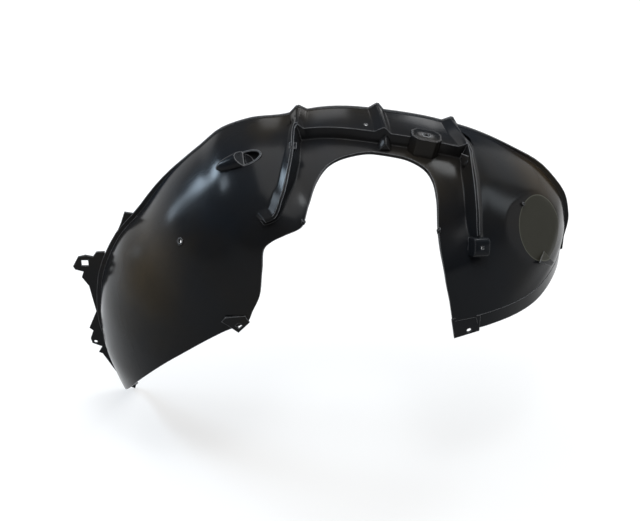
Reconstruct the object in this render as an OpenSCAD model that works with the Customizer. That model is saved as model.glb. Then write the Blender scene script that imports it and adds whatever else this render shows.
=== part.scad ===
// Wheel arch liner: one moulded shell between the wheel and the bodywork.
// Millimetres. X along the car, Y from the hub side out to the fender lip, Z up.

/* [Arch] */
// Radius of the fender lip over the wheel centre
arch_r = 390; // [370:1:410]
// Depth from the hub-side wall to the fender lip
arch_depth = 210; // [195:1:225]
// Radius that the hub-side wall curves in to
hub_r = 205; // [198:1:212]
// Wall thickness of the moulding
wall = 2.5; // [2:0.1:3]

/* [Edges] */
// Width of the flange along the fender lip, at its two legs
lip_flange = 8; // [4:0.5:12]
// Width of the flange over the roof
roof_flange = 2; // [1:0.5:4]
// Depth of the turned edge round the strut cut-out
edge_return = 6; // [3:0.5:9]
// Height of the skirt under the rear leg
skirt_h = 24; // [16:1:30]

/* [Strut pocket] */
// Depth of the pocket under the roof
pocket_depth = 19; // [14:0.5:22]

/* [Ribs] */
// Height of the three ribs across the roof
roof_rib_h = 9; // [5:0.5:12]
// Height of the two ribs down the wall
wall_rib_h = 8; // [4:0.5:11]
// Width of the flat on a rib's crest
crest_w = 4; // [3.8:0.1:5]
// Width of a wall rib's outer slope
wall_rib_slope = 9; // [7:0.5:12]

/* [Flat] */
// Depth to which the oval flat is pressed into the rear dome
flat_depth = 6.5; // [4:0.5:9]
// Reach of the flat's plane from its middle
flat_reach = 80; // [75:1:95]

/* [Turret] */
// Width of the eight-sided turret
turret_w = 46; // [38:1:50]
// Length of the turret across the car
turret_d = 35; // [30:1:40]
// Corner cut of the turret
turret_cut = 9; // [6:0.5:12]
// Height of the turret's top above the roof, at its hole
turret_rise = 6; // [3:0.5:9]
// Lean of the turret to the rear
turret_tilt = 12; // [8:1:15]
// Radius of the fixing hole in the turret
turret_hole_r = 3; // [2.5:0.1:4]

/* [Foot] */
// Width of the foot at the end of the rear wall rib
foot_w = 28; // [24:1:34]
// Length of the foot
foot_l = 26; // [22:1:32]
// Height of the foot
foot_h = 14; // [10:0.5:18]
// Radius of the foot's hole
foot_hole_r = 2.5; // [2:0.1:3]

/* [Scoop] */
// Length of the scoop's bulge
scoop_l = 46; // [38:1:52]
// Radius of the scoop at its mouth
scoop_r = 14; // [11:0.5:17]
// Length of the hollow in front of the mouth
scoop_dish_l = 26; // [20:1:32]

/* [Fixings] */
// Width of the bracket at the foot of the rear leg
bracket_w = 43; // [38:1:48]
// Height of the bracket
bracket_h = 34; // [30:1:40]
// Radius of the bracket's hole
bracket_hole_r = 3.5; // [2.5:0.1:4.5]
// Side of the square holes
square_hole = 11; // [8:0.5:13]
// Side of the diamond hole in the front tab
diamond_hole = 7.5; // [6:0.5:9]
// Thickness of the flat tabs
tab_t = 3; // [2.5:0.1:4]
// Radius of the drain hole in the front dome
drain_r = 3; // [2:0.1:4]
// Width of the raised ring round the drain hole
drain_ring = 3; // [2:0.5:4]
// Radius of the locating pin on the rear dome
pin_r = 3; // [2:0.1:4]
// Height of the locating pin
pin_h = 4; // [3:0.5:6]

/* [Hidden] */
black = [0.06, 0.06, 0.07];
// Degrees round the wheel centre, and how far the lip lies outside arch_r there, for an arch of 390
lip_angle = [10, 23, 30, 37, 44, 52, 60, 70, 82, 95, 104, 112, 118, 125, 134, 146, 157, 170, 180, 190, 203];
lip_extra = [-52, -24, 4, 18, 19, 13, 9, 2, -2, 1, -1, 9, 12, 4, -1, -7, 6, 14, 14, 7, -2];
// Degrees round the wheel centre, and how square the section is there: 2 is an ellipse
full_angle = [10, 30, 37, 44, 52, 60, 70, 105, 118, 132, 145, 157, 208];
full_value = [1.55, 1.6, 1.7, 1.8, 2, 2.2, 2.3, 2.3, 2.2, 2.1, 2, 1.9, 1.8];
// Stations from the rear leg's bottom edge over the roof to the front leg's bottom edge.
// Each has [degrees round the wheel centre, degrees out along the section] at the inner
// edge, at the pocket's border and half-way out, then the degrees round at the lip.
stations = [
    [45, 3.1, 37, 19.5, 28.3, 48, 24.7],
    [51, 8, 45, 24, 36, 56, 33],
    [57.4, 14, 50.5, 29, 44, 58, 42],
    [62.5, 23, 57, 36.5, 51, 62, 50],
    [66, 36, 60, 47, 55, 68, 55],
    [68.3, 50, 62.1, 58, 58.5, 75, 59],
    [70, 59, 63.5, 68, 62, 80, 63],
    [72.6, 65.5, 64.2, 76.5, 66, 84, 67.4],
    [78, 69.6, 73, 75.7, 74, 84, 75],
    [84, 70.2, 82.6, 75.9, 83.2, 84, 83.9],
    [90, 67, 92, 77, 92.3, 84.5, 92.5],
    [95, 61.5, 101, 79, 101, 85, 100.9],
    [98.4, 52.4, 101.9, 66, 105, 81, 107],
    [100.8, 41, 103.5, 54, 109, 77, 113],
    [103.4, 30, 105.8, 44, 114, 73, 120],
    [108, 27.7, 109.3, 35, 119, 68, 127],
    [114.4, 24.7, 116, 33, 127, 62, 137],
    [118.2, 16.3, 124, 30, 136, 58, 149],
    [123.9, 7.5, 134, 25, 148, 55, 163],
    [130, 3.8, 143, 22, 162, 52, 180],
    [134.8, 1.6, 151, 19.5, 172, 50, 191],
    [139.5, 3, 164, 19.8, 186.5, 48, 202.6]
];
last = len(stations) - 1;
// Stations of the three roof ribs, from the rear, and the run of each wall rib
rear_rib = 7;
mid_rib = 9;
front_rib = 11;
rear_rib_end = 3;
front_rib_end = 15;
rib_run_out = 0.5;
// Widths of each roof rib's rear slope and front slope
rib_slopes = [[11, 14], [11, 13], [12, 11]];
// Stations over which the pocket deepens at each end
pocket_rear = [2.1, 4];
pocket_front = [15.2, 12.6];
// Draft of the pocket's wall, from its foot to its head
pocket_draft = 2.5;
// Rows between the edge and the pocket, up to half-way and up to the lip
floor_rows = 7;
mid_rows = 4;
roof_rows = 4;

// Smooth curves through chosen values
function secant(xs, ys, k) = (ys[k + 1] - ys[k]) / (xs[k + 1] - xs[k]);
function gentle(a, b) = a * b <= 0 ? 0 : 2 * a * b / (a + b);
function tangent(xs, ys, k) =
    k == 0 ? secant(xs, ys, 0)
    : k == len(xs) - 1 ? secant(xs, ys, k - 1)
    : gentle(secant(xs, ys, k - 1), secant(xs, ys, k));
function hermite(a, b, ta, tb, s) =
    a * (1 + 2 * s) * pow(1 - s, 2) + b * s * s * (3 - 2 * s)
    + ta * s * pow(1 - s, 2) - tb * s * s * (1 - s);
function curve(xs, ys, x) =
    let (n = len(xs) - 2,
         k = min([for (i = [0:n]) if (i == n || x < xs[i + 1]) i]),
         h = xs[k + 1] - xs[k])
    hermite(ys[k], ys[k + 1], h * tangent(xs, ys, k), h * tangent(xs, ys, k + 1), (x - xs[k]) / h);
function ease(x) = let (s = min(max(x, 0), 1)) s * s * (3 - 2 * s);
function unit(v) = v / norm(v);

// The dome: a quarter of a full ellipse swept round the wheel centre
function lip_r(a) = arch_r + arch_r / 390 * curve(lip_angle, lip_extra, a);
function dome(a, p) =
    let (e = 2 / curve(full_angle, full_value, a),
         r = hub_r + (lip_r(a) - hub_r) * pow(max(sin(p), 0), e))
    [r * cos(a), arch_depth * (1 - pow(max(cos(p), 0), e)), r * sin(a)];
function dome_normal(a, p) =
    let (q = min(max(p, 0.6), 89.4), h = 0.2)
    unit(cross(dome(a, q + h) - dome(a, q - h), dome(a + h, q) - dome(a - h, q)));
function off_dome(a, p, lift) = dome(a, p) + lift * dome_normal(a, p);
function flange_w(a) =
    curve([10, 42, 62, 128, 146, 203], [lip_flange, lip_flange, roof_flange, roof_flange, lip_flange, lip_flange], a);

// Where a station's column runs over the dome, for v from 0 at the edge to 3 at the lip
station_t = [for (i = [0:last]) i];
columns_of = [for (c = [0:6]) [for (s = stations) s[c]]];
function station(t) = [for (c = [0:6]) curve(station_t, columns_of[c], t)];
function along(s, v) =
    [curve([0, 1, 2, 3], [s[0], s[2], s[4], s[6]], v), curve([0, 1, 2, 3], [s[1], s[3], s[5], 90], v)];
function place(t, v) = let (q = along(station(t), v)) dome(q[0], q[1]);
// Distance from the pocket's border for each unit of v, and length of dome for each unit of t at the roof
function out_speed(t) =
    let (d = place(t, 1.1) - place(t, 1), run = place(t + 0.1, 1) - place(t - 0.1, 1))
    10 * max(norm(cross(d, unit(run))), 0.4 * norm(d));
function round_speed(t, side) = norm(place(t + 0.4 * side, 2) - place(t, 2)) / 0.4;

// Ribs and pocket, as heights off the dome
function ramp(x, foot, crest) = min(max((foot - x) / (foot - crest), 0), 1);
function roof_rib(t, k, w) =
    let (d = (t - k) * round_speed(k, t < k ? -1 : 1), a = abs(d))
    roof_rib_h * ramp(a, (d < 0 ? w[0] : w[1]), crest_w / 2);
function wall_rib(t, x) =
    let (run = min(ramp(t, front_rib_end + rib_run_out, front_rib_end),
                   1 - ramp(t, rear_rib_end, rear_rib_end - rib_run_out)))
    t > rear_rib && t < front_rib ? 0
    : wall_rib_h * run * ramp(x, pocket_draft + crest_w + wall_rib_slope, pocket_draft + crest_w);
function pocket(t) =
    pocket_depth * min(ease((t - pocket_rear[0]) / (pocket_rear[1] - pocket_rear[0])),
                       ease((t - pocket_front[0]) / (pocket_front[1] - pocket_front[0])));
function roof_lift(t, x) = max(
    roof_rib(t, rear_rib, rib_slopes[0]), roof_rib(t, mid_rib, rib_slopes[1]),
    roof_rib(t, front_rib, rib_slopes[2]), wall_rib(t, x));

// The oval flat: a plane that cuts the crown of the rear dome, with a soft border
flat_at = dome(40.6, 57.5);
flat_normal = dome_normal(40.6, 57.5);
flat_soft = 2.5;
function pressed(q) =
    let (d = (q - flat_at) * flat_normal + flat_depth)
    norm(q - flat_at) > flat_reach || d < -flat_soft ? q
    : q - (d > flat_soft ? d : pow(d + flat_soft, 2) / (4 * flat_soft)) * flat_normal;

// Columns of the moulding: three at each rib's crest and feet, and four to every other station
function rib_columns(k, w) = [
    k - w[0] / round_speed(k, -1), k - crest_w / 2 / round_speed(k, -1),
    k + crest_w / 2 / round_speed(k, 1), k + w[1] / round_speed(k, 1)];
function quarters(from, to) = [for (t = [from:0.25:to]) t];
columns = concat(
    quarters(0, 6.25), rib_columns(rear_rib, rib_slopes[0]),
    quarters(7.5, 8.5), rib_columns(mid_rib, rib_slopes[1]),
    quarters(9.5, 10.5), rib_columns(front_rib, rib_slopes[2]),
    quarters(11.5, last));

// One column of the outer face, from the turned edge to the flange
function column(t) =
    let (s = station(t),
         speed = out_speed(t),
         deep = pocket(t),
         head = pocket_draft,
         crest = head + crest_w,
         foot = crest + wall_rib_slope,
         floor_v = [for (j = [0:floor_rows]) j / floor_rows],
         out_x = concat([head, crest, foot], [for (j = [1:mid_rows]) foot + (speed - foot) * j / mid_rows]),
         roof_v = [for (j = [1:roof_rows]) 2 + j / roof_rows],
         edge = along(s, 0),
         lip = dome(s[6], 90))
    concat(
        [off_dome(edge[0], edge[1], -deep - edge_return)],
        [for (v = floor_v) let (q = along(s, v)) off_dome(q[0], q[1], -deep)],
        [for (x = out_x) let (q = along(s, 1 + x / speed)) pressed(off_dome(q[0], q[1], roof_lift(t, x)))],
        [for (v = roof_v) let (q = along(s, v)) pressed(off_dome(q[0], q[1], roof_lift(t, speed)))],
        [lip + flange_w(s[6]) * [cos(s[6]), 0, sin(s[6])] + off_dome(s[6], 90, roof_lift(t, speed)) - lip]);

// The skirt hangs straight down from the rear leg's bottom edge, and starts where the bracket ends
plain_columns = [for (t = columns) column(t)];
rear_corner = dome(stations[0][0], stations[0][1]);
skirt_start = rear_corner[0] + bracket_w - 5;
function skirt_drop(x) = x < skirt_start ? wall : skirt_h;
outer = concat([[for (p = plain_columns[0]) p - [0, 0, skirt_drop(p[0])]]], plain_columns);
nc = len(outer);
nr = len(outer[0]);
// The inner face lies one wall's thickness behind each of the four facets that meet at a corner
facet_normal = [for (i = [0:nc - 2]) [for (j = [0:nr - 2])
    unit(cross(outer[i][j + 1] - outer[i + 1][j], outer[i + 1][j + 1] - outer[i][j]))]];
function facets_at(i, j) = [for (a = [max(i - 1, 0):min(i, nc - 2)]) for (b = [max(j - 1, 0):min(j, nr - 2)])
    facet_normal[a][b]];
function solve(m, b) =
    let (x = cross(m[1], m[2]), y = cross(m[2], m[0]), z = cross(m[0], m[1]))
    (b[0] * x + b[1] * y + b[2] * z) / (m[0] * x);
function sum_of(list) = list * [for (x = list) 1];
function behind(normals) =
    let (m = [for (r = [0:2]) [for (c = [0:2]) sum_of([for (n = normals) n[r] * n[c]]) + (r == c ? 0.05 : 0)]],
         b = [for (r = [0:2]) sum_of([for (n = normals) n[r]])])
    solve(m, b);
inner = [for (i = [0:nc - 1]) [for (j = [0:nr - 1]) outer[i][j] - wall * behind(facets_at(i, j))]];

function flat_list(grid) = [for (line = grid) for (p = line) p];
function two(a, b, c, d) = [[a, b, c], [a, c, d]];
module shell_wall() {
    n = nc * nr;
    skin = [for (i = [0:nc - 2]) for (j = [0:nr - 2])
        let (a = i * nr + j, b = a + 1, c = a + nr + 1, d = a + nr) [a, b, c, d]];
    ends = [for (j = [0:nr - 2]) for (i = [0, nc - 1])
        let (a = i * nr + j, b = a + 1) i == 0 ? [b, a, a + n, b + n] : [a, b, b + n, a + n]];
    sides = [for (i = [0:nc - 2]) for (j = [0, nr - 1])
        let (a = i * nr + j, b = a + nr) j == 0 ? [a, b, b + n, a + n] : [b, a, a + n, b + n]];
    quads = concat(skin, [for (q = skin) [q[3] + n, q[2] + n, q[1] + n, q[0] + n]], ends, sides);
    polyhedron(concat(flat_list(outer), flat_list(inner)), [for (q = quads) each two(q[3], q[2], q[1], q[0])]);
}

// Places its children on the dome: X to the rear, Y out along the section, Z off the face
module on_dome(a, p, lift = 0) {
    o = off_dome(a, p, lift);
    z = dome_normal(a, p);
    y = unit(dome(a, p + 0.2) - dome(a, p - 0.2));
    x = cross(y, z);
    multmatrix([[x[0], y[0], z[0], o[0]], [x[1], y[1], z[1], o[1]], [x[2], y[2], z[2], o[2]], [0, 0, 0, 1]])
        children();
}

// A flat plate in the plane of the fender lip, from y outwards
module upright_plate(points, y, t) {
    translate([0, y + t, 0])
        rotate([90, 0, 0])
            linear_extrude(t)
                polygon(points);
}

// Turret: an eight-sided hollow box that stands in the pocket and carries a fixing
turret_a = 73;
turret_p = 77.2;
turret_at = dome(turret_a, turret_p);
turret_floor = pocket_depth + wall;
turret_top = turret_at[2] + turret_rise;
module eight_sided(w, d, c) {
    polygon([
        [c - w / 2, -d / 2], [w / 2 - c, -d / 2], [w / 2, c - d / 2], [w / 2, d / 2 - c],
        [w / 2 - c, d / 2], [c - w / 2, d / 2], [-w / 2, d / 2 - c], [-w / 2, c - d / 2]]);
}
// Places its children at the mouth of the turret's hole, with Z along the hole
module at_turret() {
    translate([turret_at[0], turret_at[1], turret_top])
        rotate([0, turret_tilt, 0])
            children();
}
module turret_body() {
    intersection() {
        at_turret()
            translate([0, 0, -2 * turret_w])
                linear_extrude(2 * turret_w)
                    eight_sided(turret_w, turret_d, turret_cut);
        on_dome(turret_a, turret_p, -turret_floor)
            translate([-turret_w, -turret_w, 0])
                cube([2 * turret_w, 2 * turret_w, 2 * turret_w]);
    }
}
module turret_hollow() {
    at_turret() {
        translate([0, 0, -wall - 2 * turret_w])
            linear_extrude(2 * turret_w)
                eight_sided(turret_w - 2 * wall, turret_d - 2 * wall, turret_cut - wall / 2);
        translate([0, 0, -2 * wall])
            cylinder(h = 3 * wall, r = turret_hole_r, $fn = 48);
    }
}

// Foot: a round-shouldered block at the lower end of the rear wall rib
foot_a = 54.6;
foot_p = 34;
foot_turn = -60;
module foot_block(grow, base) {
    w = foot_w / 2 + grow;
    l = foot_l / 2 + grow;
    hull() {
        translate([-w, -l, base])
            cube([2 * w, 2 * l, 1]);
        for (x = [-1, 1])
            translate([x * (w - 7), l - 1, foot_h - 7 + grow])
                rotate([90, 0, 0])
                    cylinder(h = 2 * l - 4, r = 7, $fn = 32);
    }
}
module foot_body() {
    on_dome(foot_a, foot_p)
        rotate([0, 0, foot_turn])
            foot_block(0, -2 * wall);
}
module foot_hollow() {
    on_dome(foot_a, foot_p)
        rotate([0, 0, foot_turn]) {
            foot_block(-wall, -5 * wall);
            cylinder(h = 2 * foot_h, r = foot_hole_r, $fn = 48);
        }
}

// Scoop: a long bulge cut off by a slanted face, with a hollow in front of the face
scoop_a = 113.2;
scoop_p = 67.3;
scoop_slant = 42;
scoop_sink = 2;
scoop_rings = 12;
scoop_sides = 24;
module ovoid(back, front, r) {
    rings = [for (k = [1:scoop_rings - 1]) for (i = [0:scoop_sides - 1])
        let (u = 180 * k / scoop_rings, w = 360 * i / scoop_sides)
        [-cos(u) * (u < 90 ? back : front), r * sin(u) * cos(w), r * sin(u) * sin(w)]];
    back_tip = len(rings);
    bands = [for (k = [0:scoop_rings - 3]) for (i = [0:scoop_sides - 1])
        let (a = k * scoop_sides + i, b = k * scoop_sides + (i + 1) % scoop_sides)
        [a, a + scoop_sides, b + scoop_sides, b]];
    ends = [for (i = [0:scoop_sides - 1])
        let (k = (scoop_rings - 2) * scoop_sides, j = (i + 1) % scoop_sides)
        each [[j, back_tip, i], [k + i, back_tip + 1, k + j]]];
    polyhedron(concat(rings, [[-back, 0, 0], [front, 0, 0]]), concat(bands, ends));
}
// Everything behind the slanted face, or in front of it
module scoop_side(behind, gap) {
    s = 2 * scoop_l;
    rotate([0, -scoop_slant, 0])
        translate([behind ? -s - gap : gap, -s, -s])
            cube([s, 2 * s, 2 * s]);
}
module scoop_slab(bottom, top) {
    s = 2 * scoop_l;
    translate([-s, -s, bottom])
        cube([2 * s, 2 * s, top - bottom]);
}
module scoop_body() {
    on_dome(scoop_a, scoop_p, -scoop_sink) {
        intersection() {
            ovoid(scoop_l, scoop_dish_l, scoop_r);
            scoop_side(true, 0);
            scoop_slab(scoop_sink - wall + 0.3, scoop_r + 1);
        }
        intersection() {
            ovoid(scoop_l, scoop_dish_l, scoop_r);
            scoop_slab(-scoop_r - 1, scoop_sink - 0.4);
            scoop_side(false, -wall);
        }
    }
}
module scoop_hollow() {
    on_dome(scoop_a, scoop_p, -scoop_sink) {
        intersection() {
            ovoid(scoop_l - 2 * wall, scoop_dish_l - wall, scoop_r - wall);
            scoop_side(true, wall);
            scoop_slab(-scoop_r - 1, scoop_r + 1);
        }
        intersection() {
            ovoid(scoop_l - wall, scoop_dish_l - wall, scoop_r - wall);
            scoop_side(false, 0);
            scoop_slab(-scoop_r - 1, scoop_r + 1);
        }
    }
}

// Bracket: a flat plate that hangs from the rear leg's inner corner, turned to follow the edge
bracket_turn = 10.8;
bracket_t = wall + 1;
bracket_hole_x = 27;
bracket_hole_drop = 22;
module at_bracket() {
    translate(rear_corner)
        rotate([0, 0, bracket_turn])
            children();
}
module bracket() {
    at_bracket()
        upright_plate([[-1, 0.6], [5, -bracket_h], [bracket_w, 9 - bracket_h], [bracket_w, 4], [2, 4]],
            -0.4, bracket_t);
}
module bracket_hole() {
    at_bracket()
        translate([bracket_hole_x, -20, -bracket_hole_drop])
            rotate([-90, 0, 0])
                cylinder(h = 40, r = bracket_hole_r, $fn = 48);
}

// Front tab: a flat ear with a diamond hole at the front leg's inner corner
front_corner = dome(141.9, 9.9);
diamond_at = front_corner + [24, 0, -4];
module front_tab() {
    x = front_corner[0];
    z = front_corner[2];
    upright_plate([[x - 1.5, z + 3], [x + 8, z - 4], [x + 23, z - 17], [x + 40, z + 2], [x + 34, z + 14], [x + 4, z + 11]],
        -1, tab_t);
}

// Front flange tabs. Each corner has its degrees round the wheel centre and its distance outside the lip
tab_y = arch_depth + wall - 0.5;
strip = [
    [161.9, 9.1], [162.6, 21.6], [164, 23.7], [164.1, 36], [164.9, 46.3], [167.5, 50.2], [168.2, 45.8],
    [168.4, 32.2], [169.9, 33.8], [172, 21.1], [175.1, 15.5], [179, 10.1], [183.7, 27.5], [184.5, 22.5],
    [186.6, 32], [188, 32.6], [189.3, 18.9], [190.8, 29.2], [191.3, 24], [200.3, 18.6], [202.6, 15.6],
    [203.8, 9.2], [202.4, 0.6], [193.2, 0.6], [183.1, 0.6], [175.8, 3], [169.5, 3], [164.4, 3]];
upper_tab = [
    [150, 19.4], [149.2, 5], [149.6, -4], [154.2, -6], [159.2, -4], [158.9, 7.6], [155.7, 6.8], [153.2, 10.9]];
square_at = [166.1, 32.9];
clip_at = [187.7, 26];
clip_r = 3;
function by_lip(q) = (lip_r(q[0]) + q[1]) * [cos(q[0]), sin(q[0])];
module flange_tabs() {
    for (outline = [strip, upper_tab])
        upright_plate([for (q = outline) by_lip(q)], tab_y, tab_t);
}
module flange_holes() {
    c = by_lip(square_at);
    translate([c[0] - square_hole / 2, tab_y - tab_t, c[1] - square_hole / 2])
        cube([square_hole, 3 * tab_t, square_hole]);
    d = by_lip(clip_at);
    translate([d[0], tab_y - tab_t, d[1]])
        rotate([-90, 0, 0])
            cylinder(h = 3 * tab_t, r = clip_r, $fn = 48);
}

// Small round features on the domes
drain_a = 135.8;
drain_p = 50;
pin_a = 47.3;
pin_p = 61.7;
// Depth of the pressed flat under the pin, and of the pin's root
pin_sink = flat_depth - 2.8;
pin_root = pin_sink + wall - 0.7;
roof_hole_a = 86.4;
roof_hole_p = 80.5;
roof_hole_r = 2.5;

// The frame's origin is the mouth of the turret's hole
module liner() {
    color(black)
        translate([-turret_at[0], -turret_at[1], -turret_top])
        difference() {
            union() {
                shell_wall();
                turret_body();
                foot_body();
                scoop_body();
                bracket();
                front_tab();
                flange_tabs();
                on_dome(drain_a, drain_p, -wall / 2)
                    cylinder(h = wall / 2 + 1.5, r = drain_r + drain_ring, $fn = 64);
                on_dome(pin_a, pin_p, -pin_root)
                    cylinder(h = pin_root - pin_sink + pin_h, r = pin_r, $fn = 48);
            }
            turret_hollow();
            foot_hollow();
            scoop_hollow();
            flange_holes();
            bracket_hole();
            translate(diamond_at - [0, 10, 0])
                rotate([0, 45, 0])
                    translate([-diamond_hole / 2, 0, -diamond_hole / 2])
                        cube([diamond_hole, 30, diamond_hole]);
            on_dome(drain_a, drain_p, -10)
                cylinder(h = 30, r = drain_r, $fn = 48);
            on_dome(roof_hole_a, roof_hole_p, -10)
                cylinder(h = 30, r = roof_hole_r, $fn = 48);
        }
}
liner();
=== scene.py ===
import math

import bmesh
import bpy
import numpy as np
from mathutils import Matrix, Vector


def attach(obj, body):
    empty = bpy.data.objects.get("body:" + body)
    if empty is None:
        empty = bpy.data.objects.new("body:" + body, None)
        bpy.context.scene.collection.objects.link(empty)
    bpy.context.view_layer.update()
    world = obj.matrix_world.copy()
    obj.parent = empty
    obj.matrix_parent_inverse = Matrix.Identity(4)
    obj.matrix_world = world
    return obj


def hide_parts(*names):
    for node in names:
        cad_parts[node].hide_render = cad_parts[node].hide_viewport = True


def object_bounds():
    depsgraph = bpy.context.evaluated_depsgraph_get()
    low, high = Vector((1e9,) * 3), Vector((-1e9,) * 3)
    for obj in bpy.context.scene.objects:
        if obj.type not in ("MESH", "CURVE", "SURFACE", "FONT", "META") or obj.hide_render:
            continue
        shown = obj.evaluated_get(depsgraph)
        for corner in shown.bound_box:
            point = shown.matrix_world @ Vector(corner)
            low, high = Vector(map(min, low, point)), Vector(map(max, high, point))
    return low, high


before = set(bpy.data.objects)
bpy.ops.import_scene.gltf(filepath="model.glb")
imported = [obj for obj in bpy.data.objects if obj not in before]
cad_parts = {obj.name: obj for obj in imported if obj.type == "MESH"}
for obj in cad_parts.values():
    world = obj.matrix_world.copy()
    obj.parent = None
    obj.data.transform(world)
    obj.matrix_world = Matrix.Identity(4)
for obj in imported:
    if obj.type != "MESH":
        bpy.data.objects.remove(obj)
solid_low, solid_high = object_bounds()

# Sizes in millimetres, as the part's source has them. They start at the wheel's centre on the hub side:
# x runs to the rear, y out to the lip, and z up. Angles are in degrees.
ARCH_R, ARCH_DEPTH, HUB_R = 390.0, 210.0, 205.0
WALL, EDGE_RETURN, SKIRT_H = 2.5, 6.0, 24.0
LIP_FLANGE, ROOF_FLANGE = 8.0, 2.0
POCKET_DEPTH, POCKET_DRAFT = 19.0, 2.5
POCKET_REAR, POCKET_FRONT = (2.1, 1.9), (15.2, 2.6)
ROOF_RIB_H, WALL_RIB_H, WALL_RIB_SLOPE, CREST_W = 9.0, 8.0, 9.0, 4.0
HOLE_MOUTH = np.array([113.03, 153.368, 375.703])

# How far the fender lip lies outside the arc, and how full the section is, by degrees round the centre
LIP_ANGLE = [10, 23, 30, 37, 44, 52, 60, 70, 82, 95, 104,
             112, 118, 125, 134, 146, 157, 170, 180, 190, 203]
LIP_EXTRA = [-52, -24, 4, 18, 19, 13, 9, 2, -2, 1, -1,
             9, 12, 4, -1, -7, 6, 14, 14, 7, -2]
FULL_ANGLE = [10, 30, 37, 44, 52, 60, 70, 105, 118, 132, 145, 157, 208]
FULL_VALUE = [1.55, 1.6, 1.7, 1.8, 2, 2.2, 2.3, 2.3, 2.2, 2.1, 2, 1.9, 1.8]
# Sections along the liner, from the rear leg to the front leg. Each has the degrees round the centre and up
# the section at the hub edge, at the pocket's top and on the roof, then the degrees round it at the lip
STATIONS = np.array([
    [45, 3.1, 37, 19.5, 28.3, 48, 24.7],
    [51, 8, 45, 24, 36, 56, 33],
    [57.4, 14, 50.5, 29, 44, 58, 42],
    [62.5, 23, 57, 36.5, 51, 62, 50],
    [66, 36, 60, 47, 55, 68, 55],
    [68.3, 50, 62.1, 58, 58.5, 75, 59],
    [70, 59, 63.5, 68, 62, 80, 63],
    [72.6, 65.5, 64.2, 76.5, 66, 84, 67.4],
    [78, 69.6, 73, 75.7, 74, 84, 75],
    [84, 70.2, 82.6, 75.9, 83.2, 84, 83.9],
    [90, 67, 92, 77, 92.3, 84.5, 92.5],
    [95, 61.5, 101, 79, 101, 85, 100.9],
    [98.4, 52.4, 101.9, 66, 105, 81, 107],
    [100.8, 41, 103.5, 54, 109, 77, 113],
    [103.4, 30, 105.8, 44, 114, 73, 120],
    [108, 27.7, 109.3, 35, 119, 68, 127],
    [114.4, 24.7, 116, 33, 127, 62, 137],
    [118.2, 16.3, 124, 30, 136, 58, 149],
    [123.9, 7.5, 134, 25, 148, 55, 163],
    [130, 3.8, 143, 22, 162, 52, 180],
    [134.8, 1.6, 151, 19.5, 172, 50, 191],
    [139.5, 3, 164, 19.8, 186.5, 48, 202.6]])
LAST = len(STATIONS) - 1
REAR_RIB, MID_RIB, FRONT_RIB = 7, 9, 11
REAR_RIB_END, FRONT_RIB_END, RIB_RUN_OUT, BLUNT_END = 3, 15, 0.5, 0.36
# How far each roof rib reaches from its crest, to the rear and to the front
RIB_SLOPES = {REAR_RIB: (11, 14), MID_RIB: (11, 13), FRONT_RIB: (12, 11)}
FLANGE_ANGLE = [10, 42, 62, 128, 146, 203]
FLANGE_WIDTH = [LIP_FLANGE, LIP_FLANGE, ROOF_FLANGE, ROOF_FLANGE, LIP_FLANGE, LIP_FLANGE]


# Smooth curves through chosen values

def curve(xs, ys, x):
    xs, ys = np.asarray(xs, float), np.asarray(ys, float)
    x = np.asarray(x, float)
    h = np.diff(xs)
    slope = np.diff(ys) / h
    inner = slope[:-1] * slope[1:]
    gentle = np.where(inner <= 0, 0, 2 * inner / np.where(inner <= 0, 1, slope[:-1] + slope[1:]))
    tangent = np.concatenate([[slope[0]], gentle, [slope[-1]]])
    k = np.clip(np.searchsorted(xs, x, side="right") - 1, 0, len(xs) - 2)
    s = (x - xs[k]) / h[k]
    return (ys[k] * (1 + 2 * s) * (1 - s) ** 2 + ys[k + 1] * s * s * (3 - 2 * s)
            + h[k] * tangent[k] * s * (1 - s) ** 2 - h[k] * tangent[k + 1] * s * s * (1 - s))


def ease(x):
    s = np.clip(x, 0, 1)
    return s * s * (3 - 2 * s)


def unit(v):
    return v / np.linalg.norm(v, axis=-1, keepdims=True)


def sind(a):
    return np.sin(np.radians(a))


def cosd(a):
    return np.cos(np.radians(a))


# The dome: a quarter of a full ellipse swept round the wheel centre

def dome(a, p):
    a, p = np.broadcast_arrays(np.asarray(a, float), np.asarray(p, float))
    e = 2 / curve(FULL_ANGLE, FULL_VALUE, a)
    lip_r = ARCH_R + curve(LIP_ANGLE, LIP_EXTRA, a)
    r = HUB_R + (lip_r - HUB_R) * np.maximum(sind(p), 0) ** e
    return np.stack([r * cosd(a), ARCH_DEPTH * (1 - np.maximum(cosd(p), 0) ** e), r * sind(a)], -1)


def dome_normal(a, p):
    # Small steps both ways, kept off the section's two ends
    q, h = np.clip(p, 0.6, 89.4), 0.2
    return unit(np.cross(dome(a, q + h) - dome(a, q - h), dome(a + h, q) - dome(a - h, q)))


def off_dome(a, p, lift):
    return dome(a, p) + np.asarray(lift, float)[..., None] * dome_normal(a, p)


def flange_edge(lip, a):
    # Straight out from the lip, by the flange's width
    return lip + curve(FLANGE_ANGLE, FLANGE_WIDTH, a) * np.array([cosd(a), 0, sind(a)])


def station(t):
    return [curve(range(LAST + 1), STATIONS[:, c], t) for c in range(7)]


def along(s, v):
    # Where a section lies on the dome at v: 0 at the hub edge, 1 at the pocket's top, 3 at the lip
    marks = [0, 1, 2, 3]
    return curve(marks, [s[0], s[2], s[4], s[6]], v), curve(marks, [s[1], s[3], s[5], 90], v)


def place(t, v):
    return dome(*along(station(t), v))


def out_speed(t):
    # Millimetres outward for one unit of v, just above the pocket
    d, run = place(t, 1.1) - place(t, 1), place(t + 0.1, 1) - place(t - 0.1, 1)
    return float(10 * max(np.linalg.norm(np.cross(d, unit(run))), 0.4 * np.linalg.norm(d)))


def round_speed(t, side):
    # Millimetres round the roof for one unit of t, on one side of t
    return float(np.linalg.norm(place(t + 0.4 * side, 2) - place(t, 2)) / 0.4)


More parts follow.
